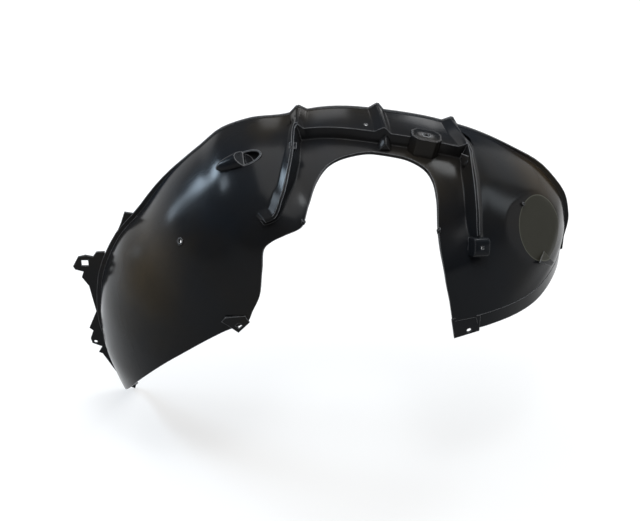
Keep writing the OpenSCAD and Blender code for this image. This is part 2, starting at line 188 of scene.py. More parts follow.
RIB_SPEED = {k: (round_speed(k, -1), round_speed(k, 1)) for k in RIB_SLOPES}


def ramp(x, foot, crest):
    return np.clip((foot - x) / (foot - crest), 0, 1)


ROUND_STEPS = (-1.2, -0.6, 0.0, 0.6, 1.2)
CREASE_STEPS = (-2.2, -1.4, -0.7, 0, 0.7, 1.4, 2.2)


def roof_rib(t, k):
    # The height of roof rib k at t, with its crest and feet rounded
    total = 0.0
    for off in ROUND_STEPS:
        d = (t - k) * RIB_SPEED[k][0 if t < k else 1] + off
        total += ramp(abs(d), RIB_SLOPES[k][0 if d < 0 else 1], CREST_W / 2)
    return ROOF_RIB_H * float(total) / len(ROUND_STEPS)


def wall_run(t, blunt=0.0):
    # The share of its height that a wall rib has at t. The front one stays full by blunt beyond its end
    if REAR_RIB < t < FRONT_RIB:
        return 0.0
    return float(min(ramp(t, FRONT_RIB_END + RIB_RUN_OUT, FRONT_RIB_END + blunt),
                     1 - ramp(t, REAR_RIB_END, REAR_RIB_END - RIB_RUN_OUT)))


def pocket(t):
    (rear, rear_run), (front, front_run) = POCKET_REAR, POCKET_FRONT
    return POCKET_DEPTH * float(min(ease((t - rear) / rear_run), ease((front - t) / front_run)))


# Grids of points, and the meshes made from them

def round_corner(a, b, c, radius, steps, share):
    # The curve that rounds the corner b, and takes no more than a share of either side
    la, lc = max(np.linalg.norm(a - b), 1e-9), max(np.linalg.norm(c - b), 1e-9)
    start = b + (a - b) * (min(radius, share * la) / la)
    end = b + (c - b) * (min(radius, share * lc) / lc)
    steps_along = [i / steps for i in range(steps + 1)]
    return [(1 - s) ** 2 * start + 2 * s * (1 - s) * b + s * s * end for s in steps_along]


def rounded(points, radius, steps=4):
    # A chain of points with each inner corner rounded by a short curve
    points = [np.asarray(q, float) for q in points]
    out = [points[0]]
    for a, b, c in zip(points, points[1:], points[2:]):
        out += round_corner(a, b, c, radius, steps, 0.42)
    return out + [points[-1]]


def rib_marks(k):
    # Columns at and around the four creases of roof rib k
    w, (before, after) = RIB_SLOPES[k], RIB_SPEED[k]
    offs = [crease + off for crease in (-w[0], -CREST_W / 2, CREST_W / 2, w[1]) for off in CREASE_STEPS]
    return [k + d / (before if d < 0 else after) for d in offs]


COLUMN_STEP, LEAST_STEP, END_STEP = 0.07, 0.006, 0.03


def skin_columns():
    # Even columns, with closer ones where the ribs rise and where they end
    ts = list(np.arange(0, LAST + 1e-6, COLUMN_STEP))
    for k in RIB_SLOPES:
        marks = rib_marks(k)
        ts = [t for t in ts if not (min(marks) - 0.02 < t < max(marks) + 0.02)] + marks
    for end in (REAR_RIB_END - RIB_RUN_OUT, REAR_RIB_END,
                FRONT_RIB_END + BLUNT_END, FRONT_RIB_END + RIB_RUN_OUT):
        ts += [end - END_STEP, end, end + END_STEP]
    ts = sorted(ts)
    keep = [ts[0]]
    for t in ts[1:]:
        if t - keep[-1] > LEAST_STEP:
            keep.append(t)
    keep[-1] = float(LAST)
    return keep


FLAT_AT, FLAT_DEPTH, FLAT_REACH = (40.6, 57.5), 6.5, 120
FLAT_CENTRE, FLAT_NORMAL = dome(*FLAT_AT), dome_normal(*FLAT_AT)
EDGE_ROUND, FOLD_ROUND, BEYOND_RIB, ROOF_ROWS = 1.6, 1.5, 7, 14


def outer_column(t):
    # One column of the outer face, from the turned hub edge to the flange
    s = [float(c) for c in station(t)]
    speed, deep = out_speed(t), pocket(t)
    head, crest = POCKET_DRAFT, POCKET_DRAFT + CREST_W
    foot = crest + WALL_RIB_SLOPE
    roof = max(roof_rib(t, k) for k in RIB_SLOPES)
    wall = WALL_RIB_H * wall_run(t, BLUNT_END)
    edge = along(s, 0)
    points = []
    # The turned edge, then the pocket's floor
    turned, corner = off_dome(*edge, -deep - EDGE_RETURN), off_dome(*edge, -deep)
    beyond = off_dome(*along(s, 0.1), -deep)
    points += rounded([turned, corner, beyond], EDGE_ROUND)[:-1]
    points += [off_dome(*along(s, v), -deep) for v in np.linspace(0.13, 0.93, 13)]
    # The pocket's wall, the wall rib and the roof just outside it
    top = max(roof, wall)
    end = foot + BEYOND_RIB
    profile = [(-8, -deep), (0, -deep), (head, top), (crest, top), (foot, roof), (end, roof)]
    points += [off_dome(*along(s, 1 + x / speed), lift) for x, lift in rounded(profile, FOLD_ROUND)[1:-1]]
    for j in range(1, ROOF_ROWS + 1):
        x = end + (speed - end) * j / ROOF_ROWS
        points.append(off_dome(*along(s, 1 + x / speed), roof))
    points += [off_dome(*along(s, 2 + j / ROOF_ROWS), roof) for j in range(1, ROOF_ROWS)]
    # The corner at the fender lip, then the flange
    lip = off_dome(s[6], 90, roof)
    before = off_dome(*along(s, 2.95), roof)
    points += rounded([before, lip, flange_edge(lip, s[6])], FOLD_ROUND)
    return points


def flatten(grid):
    # The oval flat on the rear dome, pressed in by a plane
    d = (grid - FLAT_CENTRE) @ FLAT_NORMAL + FLAT_DEPTH
    near = np.linalg.norm(grid - FLAT_CENTRE, axis=-1) < FLAT_REACH
    return grid - np.where(near & (d > 0), d, 0)[..., None] * FLAT_NORMAL


rear_corner = dome(*STATIONS[0, :2])
BRACKET_W, SKIRT_START, SKIRT_RISE = 43.0, 8.0, 5.0


def hang(row, share=1.0):
    # The skirt's edge below a row: full height beyond the bracket, and one wall's thickness over it
    reach = ease((row[:, 0] - rear_corner[0] - BRACKET_W + SKIRT_START) / SKIRT_RISE)
    return row - np.stack([0 * reach, 0 * reach, share * (WALL + (SKIRT_H - WALL) * reach)], -1)


COLUMNS = skin_columns()
outer = flatten(np.array([outer_column(t) for t in COLUMNS]))
SKIRT_SHARES = (1.0, 0.97, 0.75, 0.5, 0.25, 0.06)
outer = np.concatenate([np.array([hang(outer[0], share) for share in SKIRT_SHARES]), outer])


# The inner face follows the source's own columns and rows

def quarters(a, b):
    return list(np.arange(a, b + 1e-6, 0.25))


def rib_columns(k):
    w, (before, after) = RIB_SLOPES[k], RIB_SPEED[k]
    return [k - w[0] / before, k - CREST_W / 2 / before, k + CREST_W / 2 / after, k + w[1] / after]


def sharp_rib(t, k):
    d = (t - k) * RIB_SPEED[k][0 if t < k else 1]
    return ROOF_RIB_H * float(ramp(abs(d), RIB_SLOPES[k][0 if d < 0 else 1], CREST_W / 2))


def source_column(t):
    # The same column with the source's few rows, from which the inner face is set back
    s = [float(c) for c in station(t)]
    speed, deep = out_speed(t), pocket(t)
    head, crest = POCKET_DRAFT, POCKET_DRAFT + CREST_W
    foot = crest + WALL_RIB_SLOPE
    roof = max(sharp_rib(t, k) for k in RIB_SLOPES)
    edge = along(s, 0)
    rows = [off_dome(*edge, -deep - EDGE_RETURN)]
    rows += [off_dome(*along(s, v), -deep) for v in np.linspace(0, 1, 8)]
    for x in [head, crest, foot] + [foot + (speed - foot) * j / 4 for j in range(1, 5)]:
        rib = WALL_RIB_H * wall_run(t) * float(ramp(x, foot, crest))
        rows.append(off_dome(*along(s, 1 + x / speed), max(roof, rib)))
    rows += [off_dome(*along(s, 2 + j / 4), roof) for j in range(1, 5)]
    rows.append(flange_edge(off_dome(s[6], 90, roof), s[6]))
    return rows


source_stations = (quarters(0, 6.25) + rib_columns(REAR_RIB) + quarters(7.5, 8.5) + rib_columns(MID_RIB)
                   + quarters(9.5, 10.5) + rib_columns(FRONT_RIB) + quarters(11.5, LAST))
face = flatten(np.array([source_column(t) for t in source_stations]))
face = np.concatenate([hang(face[0])[None], face])


def behind(g):
    # One unit behind each of the facets that meet at a point, for every point of a grid. The small
    # weight on the identity settles the flat places, where the facets don't fix all three axes
    facets = unit(np.cross(g[:-1, 1:] - g[1:, :-1], g[1:, 1:] - g[:-1, :-1]))
    n, m = g.shape[:2]
    left = np.tile(np.eye(3) * 0.05, (n, m, 1, 1))
    right = np.zeros((n, m, 3))
    for a, b in ((0, 0), (0, 1), (1, 0), (1, 1)):
        part = (slice(a, n - 1 + a), slice(b, m - 1 + b))
        left[part] += facets[..., :, None] * facets[..., None, :]
        right[part] += facets
    return np.linalg.solve(left, right[..., None])[..., 0]


inner = face - WALL * behind(face)


def to_frame(points):
    return (np.asarray(points, float) - HOLE_MOUTH) / 1000


def put(name, data):
    ob = bpy.data.objects.new(name, data)
    bpy.context.scene.collection.objects.link(ob)
    return ob


class Builder:
    """Collects points and faces for one piece."""

    def __init__(self):
        self.points, self.faces = [], []

    def add(self, points):
        start = len(self.points)
        self.points += [np.asarray(q, float) for q in points]
        return start

    def grid(self, g, flip=False):
        n, m = g.shape[:2]
        s = self.add(g.reshape(-1, 3))
        for i in range(n - 1):
            for j in range(m - 1):
                a = s + i * m + j
                quad = (a, a + 1, a + m + 1, a + m)
                self.faces.append(quad[::-1] if flip else quad)
        return s + np.arange(n * m).reshape(n, m)

    def zip(self, one, two, flip=False):
        # Joins two chains of point numbers that run side by side
        def runs(chain):
            p = np.array([self.points[i] for i in chain])
            d = np.concatenate([[0], np.cumsum(np.linalg.norm(np.diff(p, axis=0), axis=1))])
            return d / d[-1]
        u, w = runs(one), runs(two)
        i = j = 0
        while i < len(one) - 1 or j < len(two) - 1:
            if j == len(two) - 1 or (i < len(one) - 1 and u[i + 1] <= w[j + 1]):
                tri = (one[i], one[i + 1], two[j])
                i += 1
            else:
                tri = (one[i], two[j + 1], two[j])
                j += 1
            self.faces.append(tri[::-1] if flip else tri)

    def loft(self, loops, capped=False):
        # Closed loops of equal length, joined in order
        n, last = len(loops[0]), len(loops) - 1
        s = self.add(np.concatenate([np.asarray(q, float) for q in loops]))
        for k in range(last):
            for i in range(n):
                a, b = s + k * n + i, s + k * n + (i + 1) % n
                self.faces.append((a, b, b + n, a + n))
        if capped:
            self.faces.append(tuple(s + i for i in range(n))[::-1])
            self.faces.append(tuple(s + last * n + i for i in range(n)))

    def mesh(self, name, smooth_below):
        me = bpy.data.meshes.new(name)
        me.from_pydata(to_frame(self.points).tolist(), [], [tuple(int(i) for i in f) for f in self.faces])
        me.validate()
        me.update()
        return finish_mesh(put(name, me), smooth_below)


def finish_mesh(ob, smooth_below):
    # Smooth, with sharp edges where two faces turn by more than the angle
    for poly in ob.data.polygons:
        poly.use_smooth = True
    ob.data.set_sharp_from_angle(angle=math.radians(smooth_below))
    return ob


shell = Builder()
front = shell.grid(outer)
back = shell.grid(inner, flip=True)
shell.zip(list(front[:, 0]), list(back[:, 0]))
shell.zip(list(front[:, -1]), list(back[:, -1]), flip=True)
shell.zip(list(front[0]), list(back[0]), flip=True)
shell.zip(list(front[-1]), list(back[-1]))
liner_shell = shell.mesh("liner_shell", 40)


# Places on the liner: x to the rear, y out along the section, z off the face

class Seat:
    """Three axes at a point, for what is modelled by itself and then set in place."""

    def __init__(self, origin, x, y, z):
        self.o, self.x, self.y, self.z = (np.asarray(q, float) for q in (origin, x, y, z))

    def at(self, points):
        q = np.asarray(points, float)
        return self.o + q[..., :1] * self.x + q[..., 1:2] * self.y + q[..., 2:3] * self.z


def on_dome(a, p, lift=0.0, turn=0.0):
    z = dome_normal(a, p)
    y = unit(dome(a, p + 0.2) - dome(a, p - 0.2))
    x = np.cross(y, z)
    c, d = cosd(turn), sind(turn)
    return Seat(dome(a, p) + lift * z, c * x + d * y, c * y - d * x, z)


def circle(r, n, z=0.0):
    w = np.arange(n) * 2 * np.pi / n
    return np.stack([r * np.cos(w), r * np.sin(w), np.full(n, float(z))], -1)


def round_outline(corners, radius, steps=4):
    # A closed outline with rounded corners, as points in order
    corners = [np.asarray(q, float) for q in corners]
    out = []
    for i, b in enumerate(corners):
        out += round_corner(corners[i - 1], b, corners[(i + 1) % len(corners)], radius, steps, 0.45)
    return np.array(out)


def with_z(flat, z):
    flat = np.asarray(flat, float)
    return np.concatenate([flat, np.full((len(flat), 1), float(z))], 1)


def facing(outline, r, z):
    # A round loop whose points lie in the same directions as an outline's
    w = np.arctan2(outline[:, 1], outline[:, 0])
    return np.stack([r * np.cos(w), r * np.sin(w), np.full(len(w), float(z))], -1)


def combine(ob, tool, operation="DIFFERENCE"):
    # Cuts one mesh with another, or joins them, and drops the tool
    mod = ob.modifiers.new("combine", "BOOLEAN")
    mod.operation, mod.solver, mod.object = operation, "EXACT", tool
    bpy.context.view_layer.update()
    me = bpy.data.meshes.new_from_object(ob.evaluated_get(bpy.context.evaluated_depsgraph_get()))
    old = ob.data
    ob.modifiers.clear()
    ob.data = me
    bpy.data.meshes.remove(old)
    bpy.data.objects.remove(tool)
    return finish_mesh(ob, 40)


def prism(name, seat, outline, low, high):
    # An outline carried from one height to another, as a cutter
    b = Builder()
    b.loft([seat.at(with_z(outline, z)) for z in (low, high)], capped=True)
    return b.mesh(name, 30)


def block(name, seat, low, high):
    corners = [[low[0], low[1]], [high[0], low[1]], [high[0], high[1]], [low[0], high[1]]]
    return prism(name, seat, corners, low[2], high[2])


# Turret: an eight-sided hollow box that stands in the pocket and carries a fixing

TURRET_W, TURRET_D, TURRET_CUT, TURRET_RISE, TURRET_TILT, TURRET_HOLE_R = 46.0, 35.0, 9.0, 6.0, 12.0, 3.0
TURRET_AT = (73, 77.2)
turret_seat = Seat(dome(*TURRET_AT) + [0, 0, TURRET_RISE], [cosd(TURRET_TILT), 0, -sind(TURRET_TILT)],
                   [0, 1, 0], [sind(TURRET_TILT), 0, cosd(TURRET_TILT)])
pocket_seat = on_dome(*TURRET_AT, -POCKET_DEPTH - WALL)


def eight_sided(grow, radius=1.5):
    w, d, c = TURRET_W / 2 + grow, TURRET_D / 2 + grow, TURRET_CUT + grow / 2
    corners = [[c - w, -d], [w - c, -d], [w, c - d], [w, d - c],
               [w - c, d], [c - w, d], [-w, d - c], [-w, c - d]]
    return round_outline(corners, radius, 3)


def turret_wall(grow):
    # The foot of the turret's wall, where it meets the back of the pocket's floor
    flat = with_z(eight_sided(grow), 0)
    gap = (turret_seat.at(flat) - pocket_seat.o) @ pocket_seat.z
    flat[:, 2] = -gap / (turret_seat.z @ pocket_seat.z)
    return flat


def turret():
    # Up the outside, over the rounded shoulder and the dished top, through the hole and down the inside
    b = Builder()
    rim = eight_sided(0)
    shoulder = [(0, -2.2), (-0.2, -1.1), (-0.8, -0.3), (-1.7, 0), (-3.2, 0), (-4.2, -0.5)]
    hole = [(6.5, -0.7), (6.0, -0.2), (4.0, -0.2), (TURRET_HOLE_R, -0.6), (TURRET_HOLE_R, -WALL)]
    inside = [(-WALL - 0.5, -WALL - 0.7), (-WALL, -WALL - 1.2)]
    loops = [turret_wall(0), *[with_z(eight_sided(grow), z) for grow, z in shoulder],
             *[facing(rim, r, z) for r, z in hole],
             *[with_z(eight_sided(grow), z) for grow, z in inside], turret_wall(-WALL)]
    b.loft([turret_seat.at(q) for q in loops + loops[:1]])
    return b.mesh("turret", 30)


# Foot: a round-shouldered block at the lower end of the rear wall rib

FOOT_W, FOOT_L, FOOT_H, FOOT_HOLE_R, SHOULDER = 28.0, 26.0, 14.0, 2.5, 7.0
FOOT_AT, FOOT_TURN, FOOT_ROUND, SHOULDER_STEPS = (54.6, 34), -60, 2.5, 8
foot_seat = on_dome(*FOOT_AT, 0, FOOT_TURN)


def box_corners(w, l):
    return [[-w, -l], [w, -l], [w, l], [-w, l]]


def foot():
    b = Builder()

    def ring(grow, z, across=0.0):
        corners = box_corners(FOOT_W / 2 + grow - across, FOOT_L / 2 + grow)
        return with_z(round_outline(corners, FOOT_ROUND, 5), z)

    loops = [ring(0, -2 * WALL), ring(0, FOOT_H - SHOULDER)]
    for k in range(1, SHOULDER_STEPS + 1):
        share = k / SHOULDER_STEPS
        bend = share * math.pi / 2
        loops.append(ring(-0.9 * share ** 3, FOOT_H - SHOULDER * (1 - math.sin(bend)),
                          SHOULDER * (1 - math.cos(bend))))
    rim = ring(0, 0)
    loops += [facing(rim, FOOT_HOLE_R + 0.4, FOOT_H), facing(rim, FOOT_HOLE_R, FOOT_H - 0.4),
              facing(rim, FOOT_HOLE_R, FOOT_H - WALL), ring(-WALL, FOOT_H - WALL, 5),
              ring(-WALL, FOOT_H - SHOULDER - 1), ring(-WALL, -2 * WALL)]
    b.loft([foot_seat.at(q) for q in loops + loops[:1]])
    return b.mesh("foot", 35)


# Scoop: a long bulge cut off by a slanted face, with a hollow in front of the face

SCOOP_L, SCOOP_R, SCOOP_DISH_L, SCOOP_SLANT, SCOOP_SINK = 46.0, 14.0, 26.0, 42.0, 2.0
SCOOP_AT, FAR = (113.2, 67.3), 2 * SCOOP_L
scoop_seat = on_dome(*SCOOP_AT, -SCOOP_SINK)
scoop_face = Seat(scoop_seat.o, cosd(SCOOP_SLANT) * scoop_seat.x + sind(SCOOP_SLANT) * scoop_seat.z,
                  scoop_seat.y, cosd(SCOOP_SLANT) * scoop_seat.z - sind(SCOOP_SLANT) * scoop_seat.x)


def ovoid(name, back, front, r, rings=30, sides=56):
    # A closed bulge with one length behind the middle and another in front of it
    b = Builder()
    loops = []
    for k in range(rings + 1):
        u = math.pi * min(max(k / rings, 0.004), 0.996)
        x = -math.cos(u) * (back if u < math.pi / 2 else front)
        loops.append(circle(r * math.sin(u), sides, x)[:, [2, 0, 1]])
    b.loft([scoop_seat.at(q) for q in loops], capped=True)
    return b.mesh(name, 40)


def scoop_part(name, sizes, before, low, high, gap):
    # The part of an ovoid that lies before or behind the slanted face, between two heights
    first, last = (gap, FAR) if before else (-FAR, gap)
    face_block = block("face_block", scoop_face, (first, -FAR, -FAR), (last, FAR, FAR))
    part = combine(ovoid(name, *sizes), face_block, "INTERSECT")
    height_block = block("height_block", scoop_seat, (-FAR, -FAR, low), (FAR, FAR, high))
    return combine(part, height_block, "INTERSECT")


def scoop_hollow():
    dish_l, r = SCOOP_DISH_L - WALL, SCOOP_R - WALL
    return [scoop_part("bulge_inside", (SCOOP_L - 2 * WALL, dish_l, r), False, -FAR, FAR, -WALL),
            scoop_part("dish_inside", (SCOOP_L - WALL, dish_l, r), True, -FAR, FAR, 0)]


def scoop():
    # The bulge and its dish, which lap a little into the shell, with their hollows cut out
    sizes = (SCOOP_L, SCOOP_DISH_L, SCOOP_R)
    bulge = scoop_part("scoop", sizes, False, SCOOP_SINK - WALL + 0.3, SCOOP_R + 1, 0)
    dish = scoop_part("scoop_dish", sizes, True, -SCOOP_R - 1, SCOOP_SINK + 0.2, -WALL)
    combine(bulge, dish, "UNION")
    for hollow in scoop_hollow():
        combine(bulge, hollow)
    return bulge


# Flat plates: outlines with holes, given a thickness and softened edges

UPRIGHT = Seat([0, 0, 0], [1, 0, 0], [0, 1, 0], [0, 0, 1])
BRACKET_TURN = 10.8
bracket_seat = Seat(rear_corner, [cosd(BRACKET_TURN), sind(BRACKET_TURN), 0],
                    [-sind(BRACKET_TURN), cosd(BRACKET_TURN), 0], [0, 0, 1])


def plate(name, seat, outline, y, t, holes=(), soft=0.35):
    # A plate in the seat's x and z, from y on by the thickness t
    data = bpy.data.curves.new(name, "CURVE")
    data.dimensions = "2D"
    data.fill_mode = "BOTH"
    data.extrude = (t / 2 - soft) / 1000
    data.bevel_depth = soft / 1000
    data.bevel_resolution = 2
    data.offset = -soft / 1000
    for points in [outline, *holes]:
        line = data.splines.new("POLY")
        line.points.add(len(points) - 1)
        for q, (x, z) in zip(line.points, points):
            q.co = (x / 1000, z / 1000, 0, 1)
        line.use_cyclic_u = True
    temp = put(name + "_line", data)
    bpy.context.view_layer.update()
    me = bpy.data.meshes.new_from_object(temp.evaluated_get(bpy.context.evaluated_depsgraph_get()))
    bpy.data.objects.remove(temp)
    me.name = name
    turned = Matrix([[*row] for row in np.stack([seat.x, seat.z, -seat.y], 1)]).to_4x4()
    me.transform(Matrix.Translation(to_frame(seat.o + (y + t / 2) * seat.y).tolist()) @ turned)
    return finish_mesh(put(name, me), 30)


def ring_points(x, z, r):
    return circle(r, 32)[:, :2] + (x, z)


def square_points(x, z, side, turn=0.0):
    r = side / math.sqrt(2)
    corners = [turn + 45 + 90 * i for i in range(4)]
    return [(x + r * cosd(w), z + r * sind(w)) for w in corners]


BRACKET_HOLE_AT, BRACKET_HOLE_R = (27, -22), 3.5
FRONT_TAB_AT, TAB_T = (141.9, 9.9), 3
FRONT_TAB = [[-1.5, 3], [8, -4], [23, -17], [40, 2], [34, 14], [4, 11]]
DIAMOND_AT, DIAMOND_SIDE = (24, -4), 7.5


def bracket():
    outline = [[-1, 0.6], [5, -34], [BRACKET_W, -25], [BRACKET_W, 4], [2, 4]]
    hole = ring_points(*BRACKET_HOLE_AT, BRACKET_HOLE_R)
    return plate("bracket", bracket_seat, outline, -0.4, WALL + 1, [hole], 0.5)


def front_tab():
    corner = dome(*FRONT_TAB_AT)[[0, 2]]
    hole = square_points(*(corner + DIAMOND_AT), DIAMOND_SIDE, 45)
    return plate("front_tab", UPRIGHT, corner + FRONT_TAB, -1, TAB_T, [hole])


# Front flange tabs. Each corner has its degrees round the wheel centre and its distance outside the lip

TAB_Y = ARCH_DEPTH + WALL - 0.5
FRONT_STRIP = [
    [161.9, 9.1], [162.6, 21.6], [164, 23.7], [164.1, 36], [164.9, 46.3], [167.5, 50.2], [168.2, 45.8],
    [168.4, 32.2], [169.9, 33.8], [172, 21.1], [175.1, 15.5], [179, 10.1], [183.7, 27.5], [184.5, 22.5],
    [186.6, 32], [188, 32.6], [189.3, 18.9], [190.8, 29.2], [191.3, 24], [200.3, 18.6], [202.6, 15.6],
    [203.8, 9.2], [202.4, 0.6], [193.2, 0.6], [183.1, 0.6], [175.8, 3], [169.5, 3], [164.4, 3]]
UPPER_TAB = [
    [150, 19.4], [149.2, 5], [149.6, -4], [154.2, -6], [159.2, -4], [158.9, 7.6], [155.7, 6.8],
    [153.2, 10.9]]
SQUARE_AT, SQUARE_SIDE = (166.1, 32.9), 11
STRIP_HOLE_AT, STRIP_HOLE_R = (187.7, 26), 3


def by_lip(a, out):
    r = ARCH_R + float(curve(LIP_ANGLE, LIP_EXTRA, a)) + out
    return r * cosd(a), r * sind(a)


def flange_tabs():
    strip, upper = ([by_lip(*q) for q in outline] for outline in (FRONT_STRIP, UPPER_TAB))
    holes = [square_points(*by_lip(*SQUARE_AT), SQUARE_SIDE),
             ring_points(*by_lip(*STRIP_HOLE_AT), STRIP_HOLE_R)]
    return [plate("front_strip", UPRIGHT, strip, TAB_Y, TAB_T, holes),
            plate("upper_tab", UPRIGHT, upper, TAB_Y, TAB_T)]


# Small round features on the domes

DRAIN_AT, DRAIN_HOLE_R, ROOF_HOLE_AT, ROOF_HOLE_R = (135.8, 50), 3.0, (86.4, 80.5), 2.5
PIN_AT, PIN_SINK = (47.3, 61.7), 3.7


def drain_ring():
    # Radius and height round the ring's section
    b = Builder()
    seat = on_dome(*DRAIN_AT)
    rows = [(6.0, -1.5), (6.0, 0.9), (5.6, 1.4), (5.0, 1.5), (4.0, 1.5), (3.4, 1.4), (DRAIN_HOLE_R, 0.9),
            (DRAIN_HOLE_R, -1.5)]
    b.loft([seat.at(circle(r, 40, z)) for r, z in rows + rows[:1]])
    return b.mesh("drain_ring", 40)


def locating_pin():
    b = Builder()
    seat = on_dome(*PIN_AT, -PIN_SINK)
    rows = [(3.6, -1.5), (3.2, 0.4), (3.0, 1.0), (3.0, 3.2), (2.6, 3.8), (1.8, 4.0)]
    b.loft([seat.at(circle(r, 32, z)) for r, z in rows], capped=True)
    return b.mesh("locating_pin", 40)


# Edges that the mould leaves slightly proud: thin round beads along the folds

FINE_BEAD, BEAD, BEAD_SIDES, FLANGE_BEAD_FROM = 0.45, 0.6, 8, 149


def bead(name, path, r):
    moves = np.linalg.norm(np.diff(path, axis=0), axis=1) > 1e-6
    path = path[np.concatenate([[True], moves])]
    run = unit(np.gradient(path, axis=0))
    # Any direction that no fold runs in serves to lay out the round section
    side = unit(np.cross(run, [0.31, 0.52, 0.79]))
    up = np.cross(run, side)
    w = np.arange(BEAD_SIDES) * 2 * np.pi / BEAD_SIDES
    b = Builder()
    b.loft([q + r * (np.cos(w)[:, None] * s + np.sin(w)[:, None] * u) for q, s, u in zip(path, side, up)],
           capped=True)
    return b.mesh(name, 60)


def row_path(row, first, last):
    # One row of the outer face's grid between two stations
    columns = outer[len(SKIRT_SHARES):]
    return np.array([column[row] for t, column in zip(COLUMNS, columns) if first <= t <= last])


def beads():
    # Rows of the outer face, counted from the turned edge, and the lip's from the flange
    hub_row, top_row, crest_row, lip_row = 3, 26, 31, -4
    fold = outer[len(SKIRT_SHARES)]
    lip = row_path(lip_row, 0, LAST)
    lip_turn = np.degrees(np.arctan2(lip[:, 2], lip[:, 0]))
    return [
        bead("hub_edge_bead", row_path(hub_row, 0, LAST), FINE_BEAD),
        bead("pocket_top_bead", row_path(top_row, REAR_RIB_END, FRONT_RIB_END), FINE_BEAD),
        bead("rear_crest_bead", row_path(crest_row, REAR_RIB_END, REAR_RIB), FINE_BEAD),
        bead("front_crest_bead", row_path(crest_row, FRONT_RIB, FRONT_RIB_END), FINE_BEAD),
        bead("skirt_fold_bead", fold[fold[:, 0] > rear_corner[0] + BRACKET_W - SKIRT_START], BEAD),
        bead("lip_bead", lip[(lip_turn > FLANGE_BEAD_FROM) | (lip_turn < 0)], BEAD)]


# Small solid wedges: the closed hull of a few corners, with softened edges

def wedge(name, corners, soft):
    bm = bmesh.new()
    for q in to_frame(corners).tolist():
        bm.verts.new(q)
    bmesh.ops.convex_hull(bm, input=bm.verts)
    bmesh.ops.delete(bm, geom=[v for v in bm.verts if not v.link_faces], context="VERTS")
    bmesh.ops.dissolve_limit(bm, angle_limit=math.radians(3), verts=bm.verts, edges=bm.edges)
    bmesh.ops.bevel(bm, geom=bm.edges[:], offset=soft / 1000, segments=2, affect="EDGES", profile=0.5)
    bmesh.ops.recalc_face_normals(bm, faces=bm.faces)
    me = bpy.data.meshes.new(name)
    bm.to_mesh(me)
    bm.free()
    return finish_mesh(put(name, me), 40)


def nub(y, outline):
    # A small knob, 5 mm thick, from its outline in x and z
    return [[x, y + thick, z] for x, z in outline for thick in (0, 5)]


# The middle rib's toe on the pocket's floor, the pads on the rear and front ribs, the gusset in the oval
# flat, and the two nubs on the hub edge: corners, then how far the edges are softened
WEDGES = {
    "mid_rib_toe": ([
        [39.3, 137.5, 356], [62.3, 138.6, 353], [53.1, 135.7, 370], [52.8, 153, 378], [46, 153, 374],
        [58.5, 153, 373], [40, 153, 357], [63.5, 153, 355]], 0.6),
    "rear_rib_pad": ([
        [164.5, 148, 348], [179.6, 128.5, 352], [182.8, 115, 342], [165, 131, 338], [168, 148, 335],
        [180, 130, 340], [180, 118, 332], [168, 131, 326]], 0.6),
    "front_rib_pad": ([
        [-88, 129, 377.5], [-76.5, 129, 377.5], [-88, 115, 375.4], [-76.5, 115, 375.4], [-85, 129, 368],
        [-79, 129, 368], [-85, 116, 366], [-79, 116, 366]], 0.8),
    "flat_gusset": ([
        [293.8, 99.5, 206.2], [283.6, 73.8, 202.6], [311.5, 102.5, 183.5], [306.8, 95.9, 181.2],
        [292.6, 101.1, 205.1], [282.5, 82.5, 196.4], [310.0, 115.7, 174.2], [305.2, 108.1, 172.9]], 0.4),
    "front_nub": (nub(36, [[-69, 303], [-63, 299], [-66, 294], [-70, 297]]), 0.6),
    "rear_nub": (nub(44, [[130, 283], [124.5, 279], [125.5, 274], [130, 273]]), 0.6)}


# Openings through the shell under the turret, foot and scoop, and the small holes

def openings():
    foot_inside = round_outline(box_corners(FOOT_W / 2 - WALL, FOOT_L / 2 - WALL), 2, 3)
    return [
        prism("turret_opening", turret_seat, eight_sided(-WALL), -80, -WALL - 1),
        prism("foot_opening", foot_seat, foot_inside, -14, 8),
        prism("drain_hole", on_dome(*DRAIN_AT), circle(DRAIN_HOLE_R, 40)[:, :2], -10, 10),
        prism("roof_hole", on_dome(*ROOF_HOLE_AT), circle(ROOF_HOLE_R, 40)[:, :2], -10, 10),
        *scoop_hollow()]


for tool in openings():
    combine(liner_shell, tool)

pieces = [liner_shell, turret(), foot(), scoop(), bracket(), front_tab(), *flange_tabs(), drain_ring(),
          locating_pin(), *[wedge(name, *shape) for name, shape in WEDGES.items()], *beads()]


# Finishes

class Socket:
    """One socket of a node tree, so that sums on it read as sums."""

    def __init__(self, tree, link):
        self.tree, self.link = tree, link

    def math(self, operation, first, second):
        return self.tree.node("ShaderNodeMath", {"operation": operation}, {0: first, 1: second})

    def __add__(self, other):
        return self.math("ADD", self, other)

    def __sub__(self, other):
        return self.math("SUBTRACT", self, other)

    def __rsub__(self, other):
        return self.math("SUBTRACT", other, self)

    def __mul__(self, other):
        return self.math("MULTIPLY", self, other)

    __radd__, __rmul__ = __add__, __mul__


